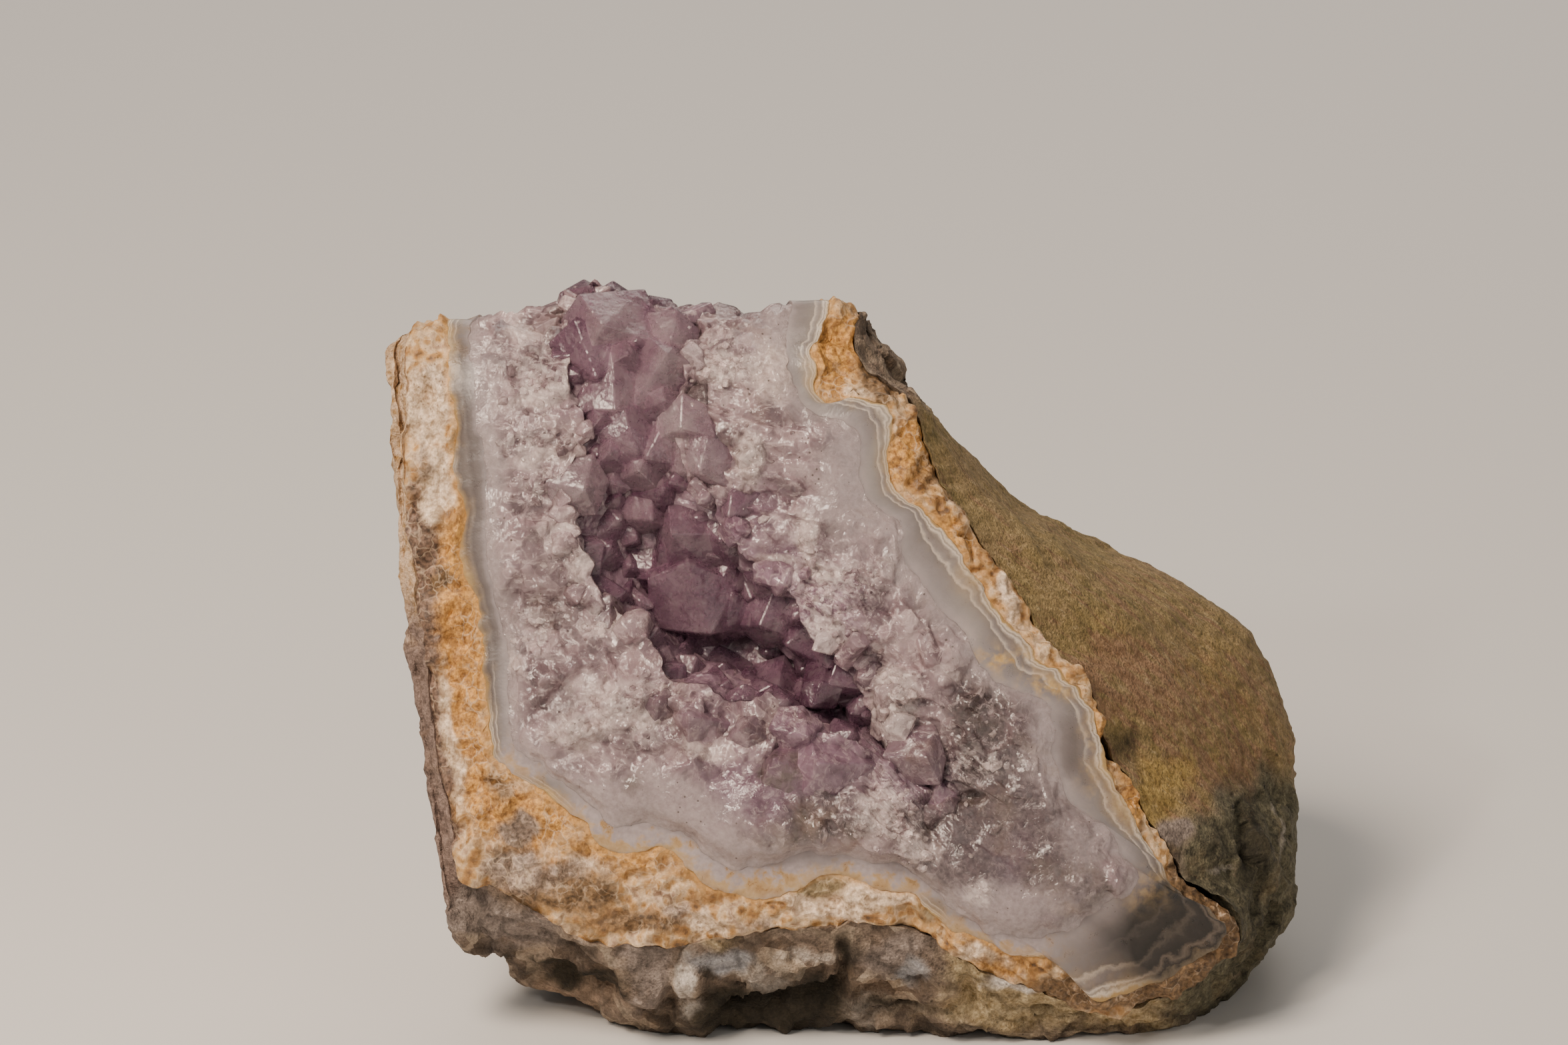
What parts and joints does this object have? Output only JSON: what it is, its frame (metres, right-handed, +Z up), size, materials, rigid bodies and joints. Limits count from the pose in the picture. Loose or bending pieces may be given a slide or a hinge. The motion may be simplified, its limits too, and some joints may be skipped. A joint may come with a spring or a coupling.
{
  "type": "rough amethyst",
  "caption": "Broken chunk of an amethyst geode: weathered rock, rust-stained rind, banded agate and a quartz crust around an open hollow lined with purple points.",
  "frame": {"origin": "centre of the foot print of the bounding box, on the surface the stone rests on", "axes": "+Z up, +X along the stone's width, -Y towards the viewer of the broken face, which leans back 22 degrees"},
  "size_m": [0.0904, 0.0594, 0.0705],
  "materials": {
    "host_rock": "weathered, rough",
    "stained_rind": "broken, matt to waxy",
    "agate_band": "waxy, slightly translucent",
    "amethyst_crust": "glassy, milky translucent"
  },
  "bodies": {
    "root": {"host_rock": "host_rock", "stained_rind": "stained_rind", "agate_band": "agate_band", "amethyst_crust": "amethyst_crust"}
  },
  "joints": []
}
